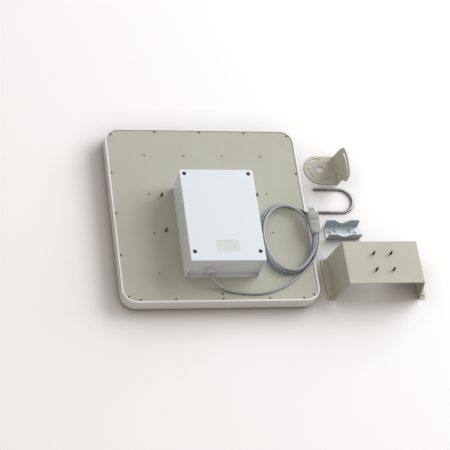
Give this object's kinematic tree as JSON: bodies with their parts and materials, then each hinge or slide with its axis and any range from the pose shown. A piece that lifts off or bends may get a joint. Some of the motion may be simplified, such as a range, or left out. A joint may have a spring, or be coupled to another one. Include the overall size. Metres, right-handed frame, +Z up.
{
  "type": "flat panel antenna kit",
  "caption": "Flat panel outdoor antenna, face down, with sealed modem box, coiled USB cord, hat bracket, slotted disc bracket, U-bolt and notched saddle clamp.",
  "frame": {"origin": "centre of the radome's flat front face, on the floor that the whole kit lies on", "axes": "+Z up, out of the antenna's back; +Y from the box's gland end to its other end; +X towards the loose mount pieces"},
  "size_m": [0.7262, 0.458, 0.1184],
  "materials": {
    "radome_white": "smooth UV-stable moulded plastic",
    "plate_paint": "fine beige-grey powder coat",
    "bracket_paint": "fine beige-grey powder coat",
    "screw_dark": "dark passivated steel",
    "stud_steel": "dark passivated steel",
    "board_laminate": "glass laminate",
    "copper": "bare copper track",
    "patch_aluminium": "bare sheet",
    "box_plastic": "fine satin moulding",
    "gasket_rubber": "soft seal",
    "lid_screw_black": "black caps",
    "modem_black": "satin moulding",
    "tray_plastic": "plain moulding",
    "usb_metal": "plated shell",
    "plug_grey": "soft overmoulding",
    "gland_grey": "light grey nylon",
    "cord_grey": "smooth PVC jacket",
    "coax_black": "thin jacket",
    "tongue_white": "contact carrier",
    "u_bolt_steel": "dark drawn rod",
    "zinc_steel": "zinc plated"
  },
  "bodies": {
    "antenna": {"radome": "radome_white", "back_plate": "plate_paint", "rim_screws": "screw_dark", "patch_standoffs": "screw_dark", "feed_board": "board_laminate", "feed_network": "copper", "rear_studs": "stud_steel", "box_base": "box_plastic", "box_gasket": "gasket_rubber", "box_mounting_screws": "stud_steel", "modem": "modem_black", "modem_tray": "tray_plastic", "modem_usb_shell": "usb_metal", "usb_socket": "plug_grey", "gland_body": "gland_grey", "gland_seal": "gasket_rubber", "gland_locknut": "gland_grey", "inner_cord": "cord_grey", "coax_pigtail": "coax_black", "coax_grommet": "gasket_rubber", "cord_lead": "cord_grey", "cord_coil": "cord_grey", "cord_tail": "cord_grey", "plug_body": "plug_grey", "plug_shell": "usb_metal", "plug_tongue": "tongue_white", "patch_01": "patch_aluminium", "patch_02": "patch_aluminium", "patch_03": "patch_aluminium", "patch_04": "patch_aluminium", "patch_05": "patch_aluminium", "patch_06": "patch_aluminium", "patch_07": "patch_aluminium", "patch_08": "patch_aluminium", "patch_09": "patch_aluminium", "patch_10": "patch_aluminium", "patch_11": "patch_aluminium", "patch_12": "patch_aluminium", "patch_13": "patch_aluminium", "patch_14": "patch_aluminium", "patch_15": "patch_aluminium", "patch_16": "patch_aluminium"},
    "box_cover": {"box_lid": "box_plastic", "lid_screws": "lid_screw_black"},
    "gland_clamp": {"gland_nut": "gland_grey"},
    "mast_bracket": {"mast_bracket": "bracket_paint", "mast_bracket_studs": "stud_steel"},
    "disc_bracket": {"disc_bracket": "bracket_paint"},
    "u_bolt": {"u_bolt": "u_bolt_steel"},
    "saddle": {"saddle_clamp": "zinc_steel"}
  },
  "joints": [
    {"name": "box_cover_lift", "type": "slide", "parent": "antenna", "child": "box_cover", "axis": [0, 0, 1], "range_m": [0, 0.08]},
    {"name": "gland_nut_turn", "type": "hinge", "parent": "antenna", "child": "gland_clamp", "pos_m": [-0.0292, -0.1672, 0.0694], "axis": [0, 1, 0], "continuous": true},
    {"name": "mast_bracket_lift", "type": "slide", "parent": "antenna", "child": "mast_bracket", "axis": [0, 0, 1], "range_m": [0, 0.13]},
    {"name": "disc_bracket_lift", "type": "slide", "parent": "antenna", "child": "disc_bracket", "axis": [0, 0, 1], "range_m": [0, 0.13]},
    {"name": "u_bolt_draw", "type": "slide", "parent": "antenna", "child": "u_bolt", "axis": [1, 0, 0], "range_m": [0, 0.12]},
    {"name": "saddle_lift", "type": "slide", "parent": "antenna", "child": "saddle", "axis": [0, 0, 1], "range_m": [0, 0.13]}
  ]
}
